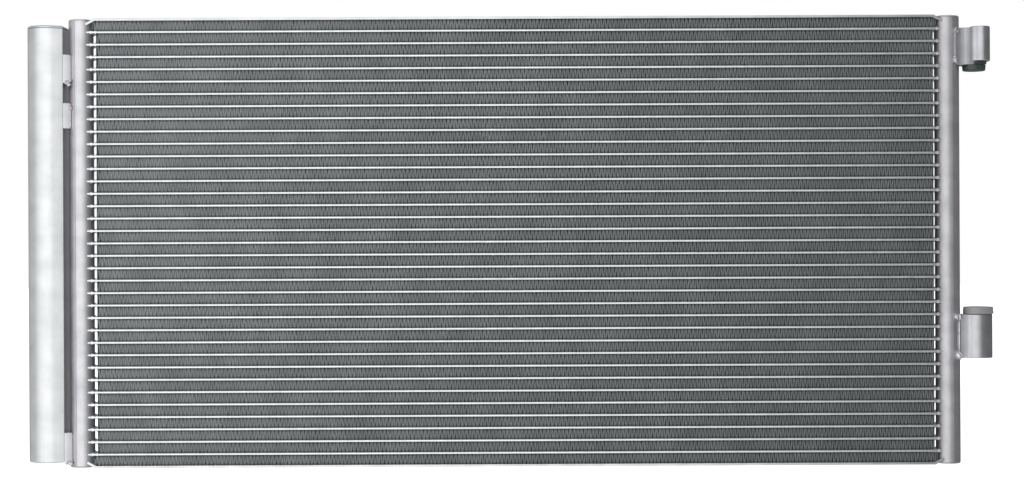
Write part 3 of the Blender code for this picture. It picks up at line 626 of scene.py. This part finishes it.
def inlet_block():
    """Upper block: a neck with a rounded rib that wraps the header, and a deeper boss
    that stands a little higher and starts above the neck's foot."""
    low, face, neck_top, top = INLET_HEIGHTS
    seat = math.degrees(math.asin(INLET_NECK / HEADER_WRAP))
    wrap = arc((0, 0), HEADER_WRAP, -2, -seat, 12)
    rib = smooth(INLET_RIB)
    x, y = rib[-1]
    inside = [(x + INLET_OVERLAP, y), (x + INLET_OVERLAP, -BLOCK_MIDDLE)]
    neck = np.concatenate([wrap, rib, inside])
    boss = np.concatenate([[(x, -BLOCK_MIDDLE)], smooth(INLET_BOSS)])
    for name, front, bottom, upper in (("inlet_neck", neck, low, neck_top),
                                       ("inlet_boss", boss, face, top)):
        piece = block(name, front + (HEADER_X, 0), bottom, upper, (BLOCK_EDGE, BLOCK_EDGE), block_metal)
        place(piece, "block", "inlet_block")


def outlet_block():
    """Lower block: a neck that wraps the header and flows into a round boss."""
    low, top = OUTLET_HEIGHTS
    middle, radius = OUTLET_BOSS
    seat = math.degrees(math.asin(OUTLET_NECK / HEADER_WRAP))
    wrap = arc((0, 0), HEADER_WRAP, -2, -seat, 10)
    boss = arc((middle, 0), radius, 250, 352, 30)
    neck = smooth(np.concatenate([OUTLET_WAIST, boss[:1]]))
    front = np.concatenate([wrap, neck[:-1], boss]) + (HEADER_X, 0)
    piece = block("outlet_boss", front, low, top, (BLOCK_EDGE, BLOCK_EDGE), block_metal)
    place(piece, "block", "outlet_block")


def dust_caps():
    """Inlet cap with a lip above a tapered body, and flat outlet cap."""
    radius, low, high = INLET_CAP
    profile = rounded([(0, low), (radius - 1 * MM, low), (radius - 0.5 * MM, low + 4.2 * MM),
                       (radius - 1.1 * MM, low + 4.5 * MM), (radius - 1.1 * MM, low + 5 * MM),
                       (radius, low + 5.3 * MM), (radius, high), (0, high)],
                      [1 * MM, 0.15 * MM, 0.1 * MM, 0.1 * MM, 0.3 * MM, 0.3 * MM])
    cap = turned("inlet_dust_cap", profile, HEADER_X + INLET_PORT_X, dark_plastic, 64)
    place(cap, "dark_cap", "inlet_port_cap")
    radius, low, high = OUTLET_CAP
    profile = rounded([(0, low), (radius, low), (radius - 0.4 * MM, high), (0, high)],
                      [0.5 * MM, 0.9 * MM])
    cap = turned("outlet_dust_cap", profile, HEADER_X + OUTLET_BOSS[0], grey_plastic, 64)
    place(cap, "grey_cap", "outlet_port_cap")


def beads():
    """Weld seams in the valleys between the headers and what is welded to them, and the
    thick beads at their ends, on the front and on the back. A seam has its plan point in
    millimetres, lower and upper end, and width in millimetres. A bead has its path and
    width in millimetres."""
    seams = {"inlet": ((354.8, -9.3), INLET_HEIGHTS[0], INLET_HEIGHTS[2], 1.2),
             "outlet": ((357.8, -6.9), *OUTLET_HEIGHTS, 2.4),
             "upper_saddle": ((-356.9, -7.7), *UPPER_SADDLE, 0.7),
             "middle_saddle": ((-356.9, -7.7), *MIDDLE_SADDLE, 0.7),
             "flow_block": ((-356.9, -7.7), *FLOW_BLOCK, 0.7)}
    thick = {"inlet_high": ([(353.6, -9.7, 350.6), (355.6, -9.7, 349.6), (357.6, -9, 348.8)], 5.4),
             "inlet_low": ([(355.6, -9.2, 322.8), (354.8, -9.5, 325.5), (354.6, -9.5, 329)], 4.4),
             "outlet_high": ([(352.8, -9.9, 118.2), (356, -9.1, 119), (360, -7.2, 118.2)], 5.4),
             "outlet_low": ([(353.4, -9.8, 86.2), (356, -9, 87.6), (359, -7.3, 89.6)], 6.4),
             "upper_saddle_low": ([(-361.4, -9.9, 311.4), (-359, -9, 310), (-357, -8.4, 307.6)], 4.6),
             "upper_saddle_spot": ([(-357.2, -8.9, 313.6), (-356.4, -8.9, 310.8)], 3),
             "middle_saddle_high": ([(-358.6, -8.9, 291.6), (-356.8, -8.5, 290.4), (-356.4, -8.5, 288)],
                                    3.2),
             "flow_block_low": ([(-361.6, -10.3, 5.6), (-358.6, -9, 4.6), (-356.2, -8.7, 3.5)], 3.4)}
    for number, (name, (plan, low, high, width)) in enumerate(seams.items()):
        x, y = np.array(plan) * MM
        for word, sign in (("front", 1), ("back", -1)):
            path = [(x, sign * y, low + 1 * MM), (x, sign * y, high - 1 * MM)]
            seam = bead(f"{name}_{word}_seam", path, width * MM, weld_metal, 0.12, 1.6 * MM, number)
            place(seam, "block")
    for number, (name, (path, width)) in enumerate(thick.items()):
        for word, sign in (("front", 1), ("back", -1)):
            line = np.array(path) * (MM, sign * MM, MM)
            lump = bead(f"{name}_{word}_bead", line, width * MM, weld_metal, 0.2, 2.2 * MM, number)
            place(lump, "block")


def bare_nodes():
    """Give the solids inside, which stay as they are, their own finishes."""
    finishes = {"desiccant_bag": felt, "drier_filter": nylon, "drier_plug_seal": rubber,
                "drier_bottom_plug": block_metal, "left_header_baffle": header_metal,
                "right_header_baffle": header_metal}
    for name, material in finishes.items():
        nodes[name].data.materials.clear()
        nodes[name].data.materials.append(material)


# Stage, light and camera


def card(name, corners):
    """Studio card that shows in the metal, but not to the camera or to matt surfaces, and
    casts no shadow. Gives back its empty material tree."""
    mesh = bpy.data.meshes.new(name)
    mesh.from_pydata(corners, [], [(0, 1, 2, 3)])
    material = bpy.data.materials.new(name)
    material.use_nodes = True
    material.node_tree.nodes.clear()
    mesh.materials.append(material)
    obj = bpy.data.objects.new(name, mesh)
    bpy.context.scene.collection.objects.link(obj)
    obj.visible_camera = False
    obj.visible_diffuse = False
    obj.visible_shadow = False
    return material.node_tree


def grey_card(name, corners, tone):
    """Card of one grey tone."""
    tree = card(name, corners)
    glow = add_node(tree, "ShaderNodeEmission", {"Color": (tone, tone, tone, 1)})
    add_node(tree, "ShaderNodeOutputMaterial", {"Surface": glow.outputs[0]})


def front_card():
    """Wide soft panel in front: brightest left of the middle, and fading to grey at both
    ends. Its tone follows X."""
    low, high = FRONT_TONES[0][0], FRONT_TONES[-1][0]
    corners = [(low, FRONT, GROUND), (high, FRONT, GROUND), (high, FRONT, ROOF), (low, FRONT, ROOF)]
    tree = card("front panel", corners)
    point = add_node(tree, "ShaderNodeTexCoord").outputs["Object"]
    across = add_node(tree, "ShaderNodeSeparateXYZ", {0: point}).outputs["X"]
    share = add_node(tree, "ShaderNodeMapRange", {0: across, 1: low, 2: high, 3: 0.0, 4: 1.0})
    ramp = add_node(tree, "ShaderNodeValToRGB", {0: share.outputs[0]})
    marks = ramp.color_ramp.elements
    while len(marks) < len(FRONT_TONES):
        marks.new(0.5)
    for mark, (x, tone) in zip(marks, FRONT_TONES):
        mark.position = (x - low) / (high - low)
        mark.color = (tone, tone, tone, 1)
    glow = add_node(tree, "ShaderNodeEmission", {"Color": ramp.outputs[0]})
    add_node(tree, "ShaderNodeOutputMaterial", {"Surface": glow.outputs[0]})


def seen_ray(tree):
    """1 for rays from the camera, from mirrors and through glass, 0 for the others."""
    path = add_node(tree, "ShaderNodeLightPath").outputs
    seen = add_node(tree, "ShaderNodeMath",
                    {0: path["Is Camera Ray"], 1: path["Is Glossy Ray"]}, operation="MAXIMUM")
    both = add_node(tree, "ShaderNodeMath",
                    {0: seen.outputs[0], 1: path["Is Transmission Ray"]}, operation="MAXIMUM")
    return both.outputs[0]


def studio():
    """White surroundings, a soft lamp at the front left, and cards for the metal."""
    world = bpy.data.worlds.new("studio")
    bpy.context.scene.world = world
    world.use_nodes = True
    tree = world.node_tree
    tree.nodes.clear()
    fill = add_node(tree, "ShaderNodeBackground", {"Color": (1, 1, 1, 1), "Strength": 0.6})
    white = add_node(tree, "ShaderNodeBackground", {"Color": (1, 1, 1, 1), "Strength": 1.0})
    mix = add_node(tree, "ShaderNodeMixShader", {0: seen_ray(tree), 1: fill.outputs[0], 2: white.outputs[0]})
    add_node(tree, "ShaderNodeOutputWorld", {"Surface": mix.outputs[0]})

    lamp = bpy.data.lights.new("front left softbox", "AREA")
    lamp.shape = "RECTANGLE"
    lamp.size, lamp.size_y = 1.6, 1.2
    lamp.energy = 15
    holder = bpy.data.objects.new("front left softbox", lamp)
    holder.location = (-1.3, -1.2, 0.8)
    holder.rotation_euler = (math.radians(65), 0, math.radians(-46))
    bpy.context.scene.collection.objects.link(holder)
    holder.visible_camera = False
    holder.visible_glossy = False

    front_card()
    walls = {"left wall": ((LEFT, FRONT), (LEFT, REAR), 0.58),
             "rear left wall": ((LEFT, REAR), (REAR_SPLIT, REAR), 0.42),
             "rear wall": ((REAR_SPLIT, REAR), (RIGHT, REAR), 0.18),
             "right wall": ((RIGHT, REAR), (RIGHT, FRONT), 0.19)}
    for name, (start, end, tone) in walls.items():
        grey_card(name, [(*start, GROUND), (*end, GROUND), (*end, ROOF), (*start, ROOF)], tone)
    for name, level, tone in (("ceiling", ROOF, 0.42), ("ground", GROUND, 0.70)):
        corners = [(LEFT, FRONT, level), (RIGHT, FRONT, level), (RIGHT, REAR, level),
                   (LEFT, REAR, level)]
        grey_card(name, corners, tone)


def floor():
    """Pale floor. What the camera sees of it is topped up to white, and the metal doesn't
    mirror it."""
    mesh = bpy.data.meshes.new("floor")
    corners = [(-1, -1), (1, -1), (1, 1), (-1, 1)]
    mesh.from_pydata([(x * FLOOR_REACH, y * FLOOR_REACH, FLOOR_LEVEL) for x, y in corners],
                     [], [(0, 1, 2, 3)])
    material = bpy.data.materials.new("pale studio floor")
    material.use_nodes = True
    tree = material.node_tree
    tree.nodes.clear()
    path = add_node(tree, "ShaderNodeLightPath").outputs
    matt = add_node(tree, "ShaderNodeBsdfDiffuse", {"Color": (0.9, 0.9, 0.9, 1)})
    glow = add_node(tree, "ShaderNodeEmission", {"Color": (1, 1, 1, 1), "Strength": path["Is Camera Ray"]})
    both = add_node(tree, "ShaderNodeAddShader", {0: matt.outputs[0], 1: glow.outputs[0]})
    add_node(tree, "ShaderNodeOutputMaterial", {"Surface": both.outputs[0]})
    mesh.materials.append(material)
    obj = bpy.data.objects.new("floor", mesh)
    bpy.context.scene.collection.objects.link(obj)
    obj.visible_glossy = False


def camera():
    """Camera square to the front, level with the core's middle and rolled a little."""
    data = bpy.data.cameras.new("camera")
    data.sensor_width = 36
    data.lens = CAMERA_LENS
    data.shift_x = SIDE_SHIFT
    data.clip_start = 0.05
    obj = bpy.data.objects.new("camera", data)
    obj.location = (0, -CAMERA_DISTANCE, CORE_HEIGHT / 2)
    obj.rotation_euler = (math.radians(90), CAMERA_ROLL, 0)
    bpy.context.scene.collection.objects.link(obj)
    bpy.context.scene.camera = obj


for number in range(TUBE_COUNT):
    flat_tube(number)
for row in range(TUBE_COUNT + 1):
    fin_strip(row)
fillets("left", -FILLET_START, FIN_ENDS[0])
fillets("right", FILLET_START, FIN_ENDS[1])
side_plates()
for side, word in ((-1, "left"), (1, "right")):
    header_tube(side, word)
    header_cap(side, word, True)
    header_cap(side, word, False)
drier_tank()
drier_cap()
valley_block("upper_valley_block", UPPER_SADDLE, "upper_saddle")
valley_block("middle_valley_block", MIDDLE_SADDLE, "middle_saddle")
valley_block("lower_valley_block", FLOW_BLOCK, "lower_flow_block")
inlet_block()
outlet_block()
dust_caps()
beads()
bare_nodes()

studio()
floor()
camera()
bpy.context.scene.view_settings.view_transform = "Standard"
